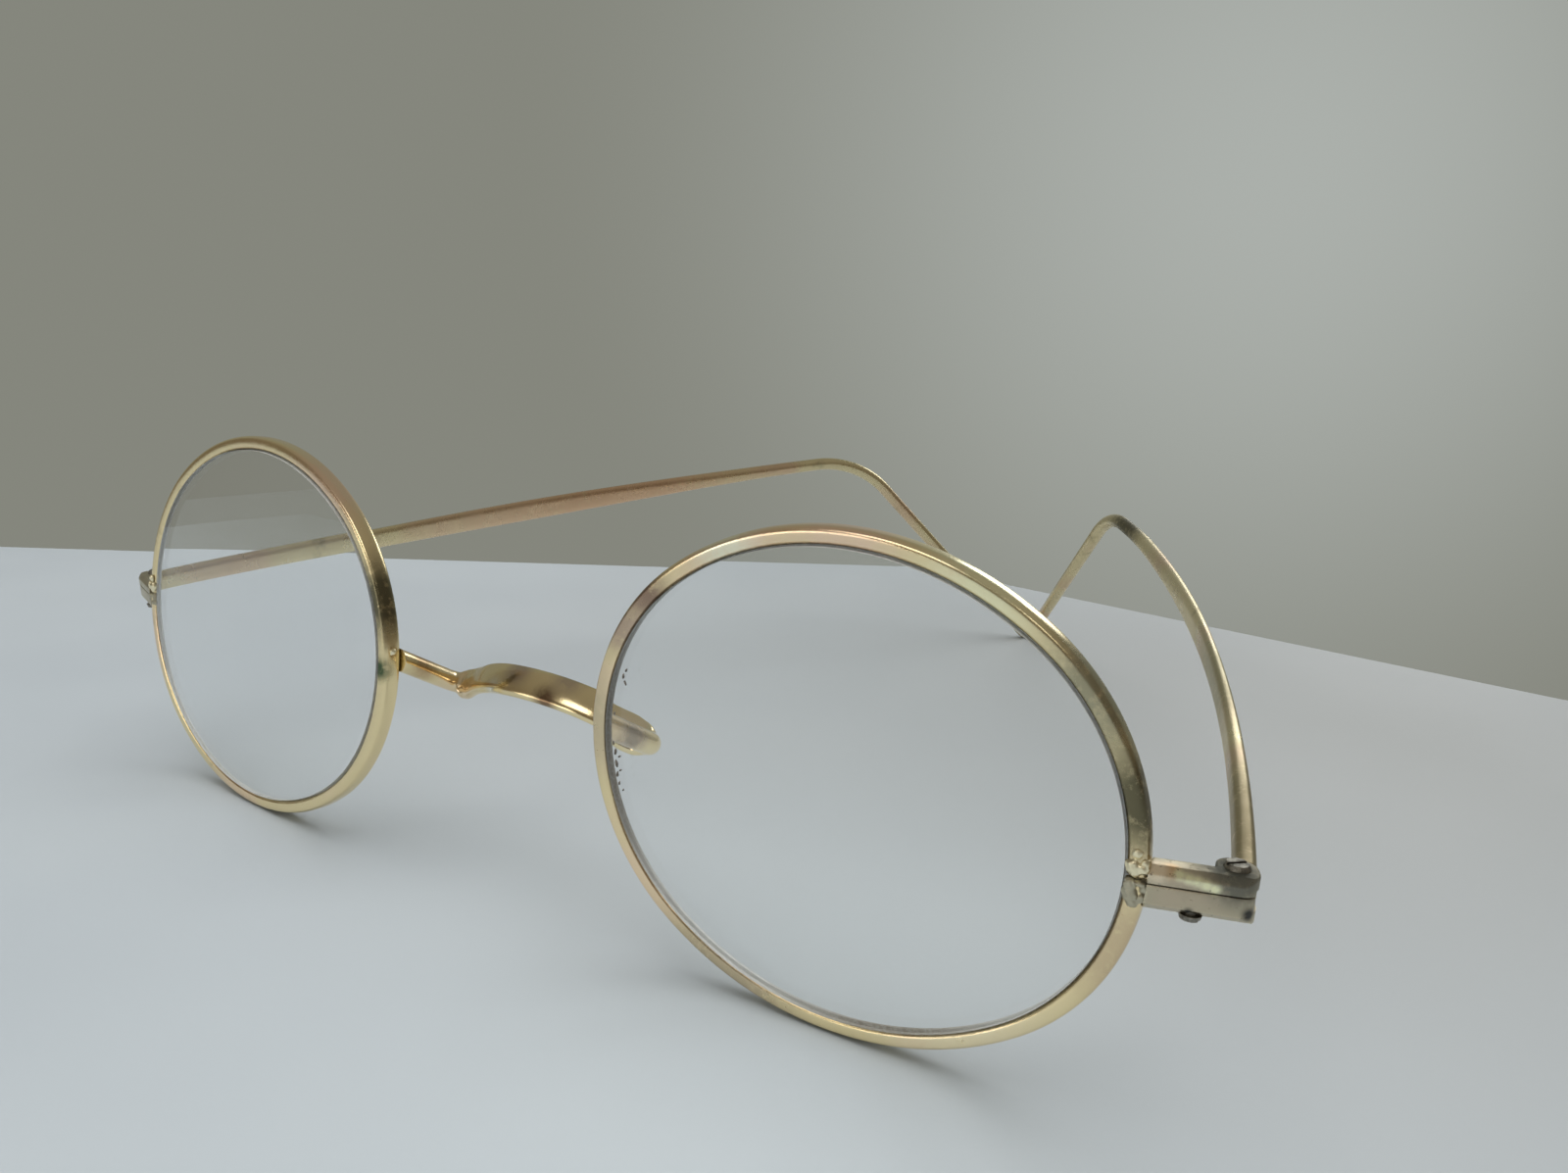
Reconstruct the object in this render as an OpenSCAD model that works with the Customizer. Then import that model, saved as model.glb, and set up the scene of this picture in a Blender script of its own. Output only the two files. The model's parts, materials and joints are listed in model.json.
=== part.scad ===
// Round metal eyeglasses with a saddle bridge, two-part end pieces and bowed temples with drop ends.
// Millimetres. Z is up, the front faces -Y, the temples run towards +Y, and +X is the wearer's left.
// The pair stands on the two rims and the two temple tips, so Z = 0 is the surface that it stands on.

/* [Eyes] */
// Width of each eye, between the inner lips of its rim
eye_width = 38.4; // [37:0.1:44]
// Height of each eye, between the inner lips of its rim
eye_height = 34.0; // [30:0.1:36]
// Distance between the two eyes across the nose, lip to lip
nose_gap = 26.1; // [22:0.1:30]
// Face form: how far each eye is turned back at its outer side
face_form = 3.0; // [0:0.1:5]
// Lean of each eye about its middle, the left one forward at the top and the right one back
eye_lean = 3.2; // [0:0.1:4]

/* [Rims] */
// Width of the rim wire seen from the front
rim_width = 1.3; // [1.1:0.05:1.8]
// Depth of the rim wire from front to back
rim_depth = 1.7; // [1.6:0.05:2.2]
// Small bevel along the edges of the rim wire
rim_bevel = 0.25; // [0.1:0.05:0.35]
// Depth of the lens groove inside the rim
groove_depth = 0.55; // [0.4:0.05:0.7]
// Width of the mouth of the lens groove
groove_mouth = 0.9; // [0.7:0.05:1]
// Width of the saw cut where the rim opens for the lens
rim_cut = 0.3; // [0.2:0.05:0.5]

/* [Lenses] */
// Thickness of the lens at its middle
lens_thickness = 1.9; // [1.6:0.1:2.4]
// Radius of the bulging front surface
lens_front_radius = 200; // [150:5:300]
// Radius of the hollow back surface
lens_back_radius = 260; // [200:5:400]
// Gap between the edge of the lens and the lips of the rim
lens_gap = 0.06; // [0.03:0.01:0.12]

/* [End pieces] */
// Length of the end piece from the rim to its outer end
lug_length = 6.3; // [5.8:0.1:8]
// How far the end piece sweeps back from straight out
lug_sweep = 18; // [10:1:22]
// Height of the upper half above the seam
upper_height = 1.1; // [1.05:0.05:1.5]
// Height of the lower half below the seam
lower_height = 1.7; // [1.4:0.05:2]
// Thickness of the neck that is soldered to the rim, front to back
neck_depth = 1.4; // [1.3:0.05:1.7]
// Thickness of the front wall of the end piece, ahead of the hinge's slot
web_thickness = 0.5; // [0.4:0.05:0.7]
// Height of the seam between the halves above the middle of the eye
seam_raise = -0.2; // [-0.6:0.1:0.6]
// Open line that shows between the two halves
seam_gap = 0.1; // [0.04:0.02:0.2]
// Easing of the end piece's front edges
lug_easing = 0.45; // [0.2:0.05:0.5]
// Radius of the end piece round the hinge screw
knuckle_radius = 1.2; // [1.15:0.05:1.5]

/* [Screws] */
// Radius of the hinge screw, which is also the pivot
hinge_screw_radius = 0.45; // [0.35:0.05:0.5]
// Radius of the hinge screw's head
hinge_head_radius = 0.8; // [0.6:0.05:0.9]
// Height of the hinge screw's head
hinge_head_height = 0.3; // [0.25:0.05:0.5]
// Radius of the closing screw, which draws the rim shut
closing_screw_radius = 0.42; // [0.35:0.01:0.45]
// Radius of the closing screw's head
closing_head_radius = 0.7; // [0.55:0.05:0.75]
// Height of the closing screw's head
closing_head_height = 0.35; // [0.2:0.05:0.5]
// Distance from the rim's outer face to the closing screw's head
closing_screw_inset = 2.0; // [0.8:0.1:2.1]
// Width of the slots in the screw heads
slot_width = 0.25; // [0.15:0.05:0.35]

/* [Hinges] */
// Thickness of the temple's tongue, between the halves of the end piece
tongue_thickness = 1.2; // [1:0.05:1.3]
// Radius of the tongue round the screw
tongue_radius = 1; // [0.9:0.05:1.1]
// Gap above and below the tongue
tongue_gap = 0.05; // [0.03:0.01:0.1]
// Radial clearance of the tongue on the hinge screw
pivot_clearance = 0.05; // [0.02:0.01:0.09]
// Backward lean of the left hinge screw, so that the left temple folds level
left_hinge_tilt = 1; // [0.8:0.1:1.2]
// Backward lean of the right hinge screw, so that the right temple folds over the left one
right_hinge_tilt = 5; // [4.6:0.1:5.4]
// Distance from the pivot to the shoulder of the temple
shoulder = 1.6; // [1.5:0.05:2.4]

/* [Temples] */
// Length of the flat bar from the pivot to the bend behind the ear
bar_length = 92.3; // [86:0.1:98]
// How far the middle of the bar lies outside its pivot
bar_offset = 0.55; // [0.4:0.05:0.7]
// Mean angle between the two bars and straight back, at the pivots, as the pair stands
bar_start_angle = 12; // [9:0.5:14]
// How much less the left bar turns in at its pivot than the mean, and the right one more
angle_stagger = 2; // [1:0.5:3]
// Further inward turn of the bar along its length
bar_bow = 19; // [14:0.5:24]
// Mean rise of the two bars above level
bar_rise = 6.9; // [6.7:0.1:7.1]
// How much less the left bar rises than the mean, and the right one more
rise_stagger = 1.1; // [1:0.1:1.3]
// Thickness of the bar at the shoulder
bar_thick_front = 1.35; // [1:0.05:1.5]
// Thickness of the bar at its middle
bar_thick_middle = 1; // [0.9:0.05:1.4]
// Height of the bar at the shoulder
bar_high_front = 2.1; // [1.8:0.1:2.6]
// Height of the bar at its middle, where it is widest
bar_high_middle = 2.7; // [2.4:0.1:3.2]

/* [Temple ends] */
// Radius of the round wire behind the ear
end_wire_radius = 0.9; // [0.7:0.05:1.1]
// Radius of the bend over the ear, to the middle of the wire
ear_bend_radius = 15; // [12:0.5:19]
// Inward turn of the bar over its last stretch before the bend
toe_in = 4; // [2:0.5:6]
// Length of that last stretch
toe_length = 14; // [8:1:30]
// Straight length of each drop end, which sets its slope, because both tips rest at the rims' level
drop_length = 38.5; // [36:0.5:41]

/* [Bridge] */
// How far each bend of the bridge stands from the eye's inner side, towards the nose
bend_offset = -0.1; // [-0.6:0.1:1]
// Length of wire that each bend of the bridge takes up on either side of its corner
bend_reach = 1.5; // [1.2:0.1:2.2]
// Radius of the round shanks that leave the rims
shank_radius = 0.95; // [0.7:0.05:1.05]
// How far the bends of the bridge lie behind the eyes
bridge_inset = 7.3; // [6:0.1:9]
// How far the bends lie below the shanks' feet
bridge_drop = 3.7; // [2.5:0.1:5]
// Height of the shanks' feet above the middle of the eye
foot_raise = 0.5; // [0:0.1:1.5]
// How far the middle of the saddle lies behind the eyes
saddle_inset = 5.2; // [4:0.1:7]
// Rise of the middle of the saddle above the bends
saddle_rise = 2.8; // [2:0.1:5]
// Width of the flattened saddle band
saddle_width = 2.9; // [2.4:0.1:4]
// Thickness of the flattened saddle band
saddle_thickness = 1.1; // [0.9:0.05:1.4]
// Lean of the band, its upper edge towards the face
saddle_lean = 38; // [20:1:50]

/* [Hidden] */
$fn = 90;

gold = [0.83, 0.70, 0.42];
gold_dark = [0.72, 0.58, 0.33];
steel = [0.62, 0.60, 0.55];
glass = [0.80, 0.86, 0.88, 0.35];

// The oval eye is four tangent arcs: two tighter ones at the sides and two wider ones above and below.
// Their centres are the corners of a 3-4-5 triangle, so that the arcs meet exactly.
half_w = eye_width / 2;
half_h = eye_height / 2;
oval_unit = (half_w - half_h) / 2;
side_shift = 3 * oval_unit;
wide_shift = 4 * oval_unit;
side_r = half_w - side_shift;
wide_r = half_h + wide_shift;
// Half the turn of a side arc, and the hair by which the wide arcs run on into the side arcs
side_half = atan2(wide_shift, side_shift);
arc_lap = 0.01;

// Places in the pair's own frame, with Y = 0 at the front lips and Z = 0 at the middle of the eyes
eye_x = nose_gap / 2 + half_w;
outer_w = half_w + rim_width;
outer_h = half_h + rim_width;
rim_side_x = eye_x + outer_w * cos(face_form);
rim_side_y = outer_w * sin(face_form);
stand = outer_h * cos(eye_lean) + (rim_depth - rim_bevel) * sin(eye_lean);

// End piece and pivot, along and across the end piece from where it leaves the rim
tongue_room = 0.1;
fold_room = 0.2;
pin_out = lug_length - knuckle_radius;
pin_in = max(web_thickness + tongue_radius + tongue_room, neck_depth + bar_thick_front / 2 - bar_offset + fold_room);
close_out = closing_screw_inset + closing_head_radius;
close_in = neck_depth / 2;
lug_top = seam_raise + upper_height;
lug_low = seam_raise - lower_height;
lug_height = upper_height + lower_height;
tongue_mid = (lug_top + lug_low) / 2;
pocket = tongue_thickness + 2 * tongue_gap;
screw_room = 0.03;
butt_room = 4 * (tongue_radius + shoulder);
end_lap = 0.6;
closing_cap = 0.5;
pin_x = rim_side_x + pin_out * cos(lug_sweep) - pin_in * sin(lug_sweep);
pin_y = rim_side_y + pin_out * sin(lug_sweep) + pin_in * cos(lug_sweep);

function unit(v) = v / norm(v);
function clamp01(t) = min(1, max(0, t));
function ease(t) = let (u = clamp01(t)) u * u * (3 - 2 * u);
function mix(a, b, t) = a + (b - a) * t;
function bez2(a, b, c, t) = (1 - t) * (1 - t) * a + 2 * t * (1 - t) * b + t * t * c;
function bez3(a, b, c, d, t) =
    pow(1 - t, 3) * a + 3 * t * pow(1 - t, 2) * b + 3 * t * t * (1 - t) * c + pow(t, 3) * d;

// A direction of one eye's own frame, turned by the face form and then by the lean, as on the left
function eye_turn(side, p) =
    let (f = face_form, g = side * eye_lean)
    let (q = [p[0] * cos(f) - p[1] * sin(f), p[0] * sin(f) + p[1] * cos(f), p[2]])
    [q[0], q[1] * cos(g) - q[2] * sin(g), q[1] * sin(g) + q[2] * cos(g)];

// Bar of the temple: heading, place and section at a distance from the pivot
bar_steps = 40;
function start_angle(side) = bar_start_angle - side * angle_stagger;
function heading(s, side) =
    start_angle(side) + bar_bow * s / bar_length + toe_in * ease((s - bar_length + toe_length) / toe_length);
function rise(side) = bar_rise - side * rise_stagger;
function bar_dir(s, side) =
    [-sin(heading(s, side)) * cos(rise(side)), cos(heading(s, side)) * cos(rise(side)), sin(rise(side))];
function bar_start(side) =
    [pin_x, pin_y, tongue_mid] + bar_offset * [cos(start_angle(side)), sin(start_angle(side)), 0];
bar_step = (bar_length - shoulder) / bar_steps;
function bar_place(j) = shoulder + j * bar_step;
function bar_route(side) = [
    for (j = 0, p = bar_start(side) + shoulder * bar_dir(shoulder / 2, side);
         j <= bar_steps;
         p = p + bar_step * bar_dir(bar_place(j + 0.5), side), j = j + 1) p];
function bar_thick(s) = s < bar_length / 2
    ? mix(bar_thick_front, bar_thick_middle, ease((s - shoulder) / (bar_length / 2 - shoulder)))
    : mix(bar_thick_middle, 1.96 * end_wire_radius, ease((s - bar_length / 2) / (bar_length / 2)));
function bar_high(s) = s < bar_length / 2
    ? mix(bar_high_front, bar_high_middle, ease((s - shoulder) / (bar_length / 2 - shoulder)))
    : mix(bar_high_middle, 1.96 * end_wire_radius, ease((s - bar_length / 2) / (bar_length / 2)));

// Drop end, in the upright plane of the bar's last heading: slope, bend centre and reach of the tip
function ear_heading(side) = heading(bar_length, side);
function ear_start(side) = bar_route(side)[bar_steps];
function fall(side) =
    ear_start(side)[2] + ear_bend_radius * (1 - cos(rise(side))) + stand - end_wire_radius;
function drop_slope(side) =
    atan2(ear_bend_radius, drop_length) + asin((fall(side) - ear_bend_radius) / norm([drop_length, ear_bend_radius]));
function tip_reach(side) =
    ear_bend_radius * (sin(rise(side)) + sin(drop_slope(side))) + drop_length * cos(drop_slope(side));

// The pair is centred front to back about the origin
front_tilt = sqrt(pow(sin(face_form) * cos(eye_lean), 2) + pow(sin(eye_lean), 2));
rim_front = -(side_shift * sin(face_form) + (side_r + rim_width - rim_bevel) * front_tilt);
lens_sag = lens_front_radius - sqrt(pow(lens_front_radius, 2) - pow(half_w, 2));
lens_inset = 0.05;
lens_rise = lens_sag - lens_inset;
lens_front = (lens_front_radius - lens_rise) * cos(face_form) * cos(eye_lean) - lens_front_radius;
front_y = min(rim_front, lens_front);
function tip_y(side) = ear_start(side)[1] + tip_reach(side) * cos(ear_heading(side));
back_y = max(tip_y(1), tip_y(-1)) + end_wire_radius;
centre_y = (front_y + back_y) / 2;

// Two children, swept round the oval: the section at the side arcs and the one at the wide arcs,
// each with x from its arc's centre outwards and y from front to back
module round_oval() {
    rotate([-90, 0, 0])
    for (s = [0, 180]) rotate([0, 0, s]) {
        translate([side_shift, 0, 0])
        rotate([0, 0, -side_half])
        rotate_extrude(angle = 2 * side_half) children(0);
        translate([0, -wide_shift, 0])
        rotate([0, 0, side_half - arc_lap])
        rotate_extrude(angle = 180 - 2 * side_half + 2 * arc_lap) children(1);
    }
}

// Section of the rim wire: bevelled outside, with a pointed groove for the lens
module rim_section() {
    b = rim_bevel;
    m = rim_depth / 2;
    g = groove_mouth / 2;
    polygon([[0, b], [b, 0], [rim_width - b, 0], [rim_width, b], [rim_width, rim_depth - b],
             [rim_width - b, rim_depth], [b, rim_depth], [0, rim_depth - b],
             [0, m + g], [groove_depth, m], [0, m - g]]);
}

module rim() {
    difference() {
        round_oval() {
            translate([side_r, 0]) rim_section();
            translate([wide_r, 0]) rim_section();
        }
        translate([half_w - 1, -1, seam_raise - rim_cut / 2])
        cube([rim_width + 2, rim_depth + 2, rim_cut]);
    }
}

// Round lens blank about its own axis: a bulging front, a hollow back and a wide straight edge
module lens_blank() {
    edge = half_w + 2;
    rotate([-90, 0, 0])
    rotate_extrude()
    difference() {
        intersection() {
            translate([0, lens_front_radius - lens_rise]) circle(r = lens_front_radius, $fn = 1440);
            translate([0, -3]) square([edge, 9]);
        }
        translate([0, lens_back_radius - lens_rise + lens_thickness])
        circle(r = lens_back_radius, $fn = 1440);
    }
}

// Section of the waste round the lens, which leaves a pointed edge that sits in the groove
module waste_section() {
    m = rim_depth / 2;
    g = groove_mouth / 2 - lens_gap;
    translate([-lens_gap, 0])
    polygon([[0, -4], [8, -4], [8, 6], [0, 6], [0, m + g], [groove_depth - lens_gap, m], [0, m - g]]);
}

module lens() {
    difference() {
        lens_blank();
        round_oval() {
            translate([side_r, 0]) waste_section();
            translate([wide_r, 0]) waste_section();
        }
    }
}

// Puts a left eye's piece in its place; the right eye is its mirror image, leaning the other way
module at_eye(side) {
    translate([side * eye_x, 0, 0])
    rotate([side * eye_lean, 0, 0])
    rotate([0, 0, side * face_form])
    mirror([side < 0 ? 1 : 0, 0, 0]) children();
}

// Leans a hinge backwards about its pivot
module hinge_frame(side) {
    pivot = [pin_x, pin_y, tongue_mid];
    translate(pivot)
    rotate([side > 0 ? left_hinge_tilt : right_hinge_tilt, 0, 0])
    translate(-pivot) children();
}

// Along and across the end piece, from the side of the rim
module swept() {
    translate([rim_side_x, rim_side_y, 0])
    rotate([0, 0, lug_sweep]) children();
}

// Outline of one half of the end piece from above, with its neck, web and knuckle
module lug_plan() {
    translate([-1.2, 0]) square([pin_out + 1.2, neck_depth]);
    translate([pin_out, pin_in]) circle(r = knuckle_radius);
    translate([pin_out - knuckle_radius, 0]) square([knuckle_radius, pin_in]);
    translate([pin_out, knuckle_radius]) square([knuckle_radius, pin_in - knuckle_radius]);
    translate([pin_out, knuckle_radius]) circle(r = knuckle_radius);
}

// Side shape of the end piece, with its front edges eased above and below
module lug_side() {
    e = lug_easing;
    translate([-2, 0, 0])
    rotate([90, 0, 90])
    linear_extrude(lug_length + 4)
    polygon([[-0.5, lug_low + e], [0, lug_low + e], [e, lug_low], [pin_in + 3, lug_low],
             [pin_in + 3, lug_top], [e, lug_top], [0, lug_top - e], [-0.5, lug_top - e]]);
}

// One half of an end piece, as on the left: up is 1 for the upper half and -1 for the lower one
module lug(side, up) {
    half_low = up > 0 ? seam_raise + seam_gap / 2 : lug_low;
    half_high = up > 0 ? lug_top : seam_raise - seam_gap / 2;
    difference() {
        hinge_frame(side) swept()
        difference() {
            intersection() {
                translate([0, 0, half_low])
                linear_extrude(half_high - half_low) lug_plan();
                lug_side();
            }
            translate([pin_out - knuckle_radius - 0.02, web_thickness, tongue_mid - pocket / 2])
            cube([2 * knuckle_radius + 2, 4 * knuckle_radius, pocket]);
            translate([pin_out, pin_in, lug_low - 1])
            cylinder(r = up > 0 ? hinge_screw_radius + screw_room : hinge_screw_radius, h = lug_height + 2);
            translate([close_out, close_in, lug_low - 1])
            cylinder(r = up > 0 ? closing_screw_radius : closing_screw_radius + screw_room,
                     h = up > 0 ? 1 + lug_height - closing_cap : lug_height);
        }
        translate([eye_x, 0, 0])
        rotate([side * eye_lean, 0, 0])
        rotate([0, 0, face_form])
        translate([side_shift, -3, 0])
        rotate([-90, 0, 0])
        cylinder(r = side_r + rim_width, h = rim_depth + 6);
    }
}

// Hinge screw: slotted head above, its end just proud below
module hinge_screw() {
    swept()
    translate([pin_out, pin_in, 0])
    difference() {
        union() {
            translate([0, 0, lug_low - 0.15])
            cylinder(r = hinge_screw_radius, h = lug_height + 0.15 + hinge_head_height / 2);
            translate([0, 0, lug_top])
            cylinder(r1 = hinge_head_radius, r2 = hinge_head_radius - 0.15, h = hinge_head_height);
        }
        translate([0, 0, lug_top + hinge_head_height])
        rotate([0, 0, 25])
        cube([3 * hinge_head_radius, slot_width, hinge_head_height], center = true);
    }
}

// Closing screw: slotted head below, its end blind in the upper half
module closing_screw() {
    swept()
    translate([close_out, close_in, 0])
    difference() {
        union() {
            translate([0, 0, lug_low - closing_head_height / 2])
            cylinder(r = closing_screw_radius, h = lug_height - closing_cap - 0.1 + closing_head_height / 2);
            translate([0, 0, lug_low - closing_head_height])
            cylinder(r1 = closing_head_radius - 0.1, r2 = closing_head_radius, h = closing_head_height);
        }
        translate([0, 0, lug_low - closing_head_height])
        rotate([0, 0, -35])
        cube([3 * closing_head_radius, slot_width, closing_head_height], center = true);
    }
}

// Butt of a temple, as on the left: a bored tongue that fits between the halves of the end piece
module temple_butt(side) {
    difference() {
        intersection() {
            hinge_frame(side)
            translate([pin_x, pin_y, tongue_mid - tongue_thickness / 2]) {
                cylinder(r = tongue_radius, h = tongue_thickness);
                rotate([0, 0, start_angle(side)])
                translate([bar_offset - bar_thick_front / 2, 0, 0])
                cube([bar_thick_front, 2 * shoulder, tongue_thickness]);
            }
            translate(bar_route(side)[0])
            rotate([0, 0, heading(shoulder, side)])
            rotate([rise(side), 0, 0])
            translate([-butt_room / 2, -butt_room, -butt_room / 2])
            cube(butt_room);
        }
        hinge_frame(side)
        translate([pin_x, pin_y, tongue_mid - 2])
        cylinder(r = hinge_screw_radius + pivot_clearance, h = 4);
    }
}

// One ring of the bar: an oval section square to the bar, which turns round as it nears the ear
function bar_ring(c, s, side, n) =
    let (a = bar_thick(s) / 2, b = bar_high(s) / 2, h = heading(s, side))
    let (across = [cos(h), sin(h), 0], up = cross(across, bar_dir(s, side)))
    let (k = mix(0.72, 1, ease((s - bar_length * 0.6) / (bar_length * 0.4))))
    [for (i = [0:n - 1])
        let (t = 360 * i / n, x = cos(t), z = sin(t))
        c + across * a * sign(x) * pow(abs(x), k) + up * b * sign(z) * pow(abs(z), k)];

// Sum of a list of points
function total(v, i = 0) = i == len(v) - 1 ? v[i] : v[i] + total(v, i + 1);

// Skin through a list of rings, closed at both ends by triangles round the middle of the ring
module skin(rings) {
    n = len(rings[0]);
    m = len(rings);
    polyhedron(
        points = concat([for (r = rings) for (p = r) p], [total(rings[0]) / n, total(rings[m - 1]) / n]),
        faces = concat(
            [for (i = [0:n - 1]) [m * n, (i + 1) % n, i]],
            [for (j = [0:m - 2]) for (i = [0:n - 1])
                [j * n + i, j * n + (i + 1) % n, (j + 1) * n + (i + 1) % n]],
            [for (j = [0:m - 2]) for (i = [0:n - 1])
                [j * n + i, (j + 1) * n + (i + 1) % n, (j + 1) * n + i]],
            [for (i = [0:n - 1]) [m * n + 1, (m - 1) * n + i, (m - 1) * n + (i + 1) % n]]),
        convexity = 6);
}

// A temple, as on the left: the bowed bar, then the round wire that bends over the ear and drops to its tip
module temple(side) {
    route = bar_route(side);
    middle = route[bar_steps / 2];
    translate(middle)
    skin([for (j = [0:bar_steps + 1])
        let (s = j > bar_steps ? bar_length + end_lap : bar_place(j))
        let (c = j > bar_steps ? route[bar_steps] + end_lap * bar_dir(bar_length, side) : route[j])
        [for (p = bar_ring(c, s, side, 16)) p - middle]]);
    translate(ear_start(side))
    rotate([0, 0, 90 + ear_heading(side)])
    rotate([90, 0, 0])
    rotate([0, 0, rise(side)])
    translate([0, -ear_bend_radius, 0])
    rotate([0, 0, 90 - rise(side) - drop_slope(side)]) {
        rotate_extrude(angle = rise(side) + drop_slope(side))
        translate([ear_bend_radius, 0]) circle(r = end_wire_radius);
        translate([ear_bend_radius, 0, 0])
        rotate([90, 0, 0])
        cylinder(r = end_wire_radius, h = drop_length);
        translate([ear_bend_radius, -drop_length, 0])
        sphere(r = end_wire_radius);
    }
}

// Bridge, from a rim to the middle of the saddle, as [centre, half width, half thickness, direction]
foot_in = half_w + rim_width * 0.7;
bend_x = eye_x - foot_in * cos(face_form) - bend_offset;
bend = [bend_x, bridge_inset, foot_raise - bridge_drop];
mid = [0, saddle_inset, bend[2] + saddle_rise];
function foot(side) = [eye_x, 0, 0] + eye_turn(side, [-foot_in, rim_depth, foot_raise]);
function back_normal(side) = eye_turn(side, [0, 1, 0]);
into = unit([-1, 0, 0.15]);
shank_steps = 5;
bend_steps = 8;
band_steps = 12;
function path(side) =
    let (a = foot(side), d = unit(bend - a), e = bend - bend_reach * d, g = bend + bend_reach * into)
    concat(
        [for (i = [0:shank_steps - 1]) mix(a, e, i / shank_steps)],
        [for (i = [0:bend_steps - 1]) bez2(e, bend, g, i / bend_steps)],
        [for (i = [0:band_steps]) bez3(g, g + 2.2 * into, mid + [7.5, 0, 0], mid, i / band_steps)]);
function grow_at(i) = ease((i - shank_steps - bend_steps - 0.5) / 5.5);
function half_rings(side, n) =
    let (p = path(side), m = len(p) - 1)
    [for (i = [0:m])
        let (t = i == 0 ? unit(p[1] - p[0]) : i == m ? [-1, 0, 0] : unit(p[i + 1] - p[i - 1]))
        let (a0 = [0, sin(saddle_lean), cos(saddle_lean)], a = unit(a0 - (a0 * t) * t), b = cross(t, a))
        let (w = mix(shank_radius, saddle_width / 2, grow_at(i)))
        let (h = mix(shank_radius, saddle_thickness / 2, grow_at(i)))
        let (ring = [for (j = [0:n - 1])
            p[i] + a * w * cos(360 * j / n) + b * h * sin(360 * j / n)])
        i > 0 ? ring : [for (q = ring) q + t * (((p[0] - q) * back_normal(side)) / (t * back_normal(side)))]];

module saddle_bridge() {
    l = half_rings(1, 16);
    r = half_rings(-1, 16);
    m = len(l) - 1;
    skin(concat([for (i = [0:m]) l[i]], [for (i = [m - 1:-1:0]) [for (q = r[i]) [-q[0], q[1], q[2]]]]));
}

// Everything stands on Z = 0 and is centred front to back
module placed() {
    translate([0, -centre_y, stand]) children();
}

module mirrored(side) {
    mirror([side < 0 ? 1 : 0, 0, 0]) children();
}

module left_rim() { color(gold) placed() at_eye(1) rim(); }
module right_rim() { color(gold) placed() at_eye(-1) rim(); }
module left_lens() { color(glass) placed() at_eye(1) lens(); }
module right_lens() { color(glass) placed() at_eye(-1) lens(); }
module bridge() { color(gold) placed() saddle_bridge(); }
module left_upper_lug() { color(gold_dark) placed() lug(1, 1); }
module left_lower_lug() { color(gold) placed() lug(1, -1); }
module right_upper_lug() { color(gold_dark) placed() mirrored(-1) lug(-1, 1); }
module right_lower_lug() { color(gold) placed() mirrored(-1) lug(-1, -1); }
module left_closing_screw() { color(steel) placed() hinge_frame(1) closing_screw(); }
module right_closing_screw() { color(steel) placed() mirrored(-1) hinge_frame(-1) closing_screw(); }
module left_hinge_screw() { color(steel) placed() hinge_frame(1) hinge_screw(); }
module right_hinge_screw() { color(steel) placed() mirrored(-1) hinge_frame(-1) hinge_screw(); }
module left_temple_butt() { color(gold_dark) placed() temple_butt(1); }
module right_temple_butt() { color(gold_dark) placed() mirrored(-1) temple_butt(-1); }
module left_temple() { color(gold) placed() temple(1); }
module right_temple() { color(gold) placed() mirrored(-1) temple(-1); }

left_rim();
right_rim();
left_lens();
right_lens();
bridge();
left_upper_lug();
left_lower_lug();
right_upper_lug();
right_lower_lug();
left_closing_screw();
right_closing_screw();
left_hinge_screw();
right_hinge_screw();
left_temple_butt();
right_temple_butt();
left_temple();
right_temple();
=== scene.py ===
import json
import math

import bmesh
import bpy
from mathutils import Matrix, Vector, noise
from mathutils.bvhtree import BVHTree


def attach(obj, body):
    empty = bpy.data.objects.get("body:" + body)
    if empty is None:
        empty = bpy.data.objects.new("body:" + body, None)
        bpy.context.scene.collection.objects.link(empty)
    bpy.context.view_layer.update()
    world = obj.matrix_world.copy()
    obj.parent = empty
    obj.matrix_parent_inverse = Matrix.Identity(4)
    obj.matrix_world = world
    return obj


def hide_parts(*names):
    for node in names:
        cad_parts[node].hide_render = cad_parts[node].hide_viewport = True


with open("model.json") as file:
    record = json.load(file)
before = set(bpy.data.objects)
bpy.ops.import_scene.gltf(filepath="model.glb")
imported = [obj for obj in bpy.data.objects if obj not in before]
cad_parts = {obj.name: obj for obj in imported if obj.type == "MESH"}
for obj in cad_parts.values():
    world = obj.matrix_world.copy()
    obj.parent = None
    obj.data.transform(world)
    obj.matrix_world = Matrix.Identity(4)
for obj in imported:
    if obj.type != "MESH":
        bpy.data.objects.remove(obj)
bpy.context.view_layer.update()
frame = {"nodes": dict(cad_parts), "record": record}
MM = 0.001


def linked(name, data):
    """A new object of the scene that shows a mesh, a lamp or a camera."""
    obj = bpy.data.objects.new(name, data)
    bpy.context.collection.objects.link(obj)
    return obj


# Camera: where the photograph was taken from. Its place is counted from the middle of the front,
# which lies FRONT_TO_ROW away from the row frame's origin.

EYE_LINE = Vector((64.14, -60.623, 28.552)) * MM
FRONT_TO_ROW = Vector((0, -62.165, 18.352)) * MM
RIGHT = Vector((0.84761, 0.52736, 0.05879))
DOWN = Vector((0.15818, -0.14535, -0.97666))
FORWARD = Vector((-0.50650, 0.83712, -0.20661))
IMAGE_WIDTH, IMAGE_HEIGHT, FOCAL_PIXELS = 1600, 1197, 1108
SENSOR_WIDTH = 36

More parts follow.
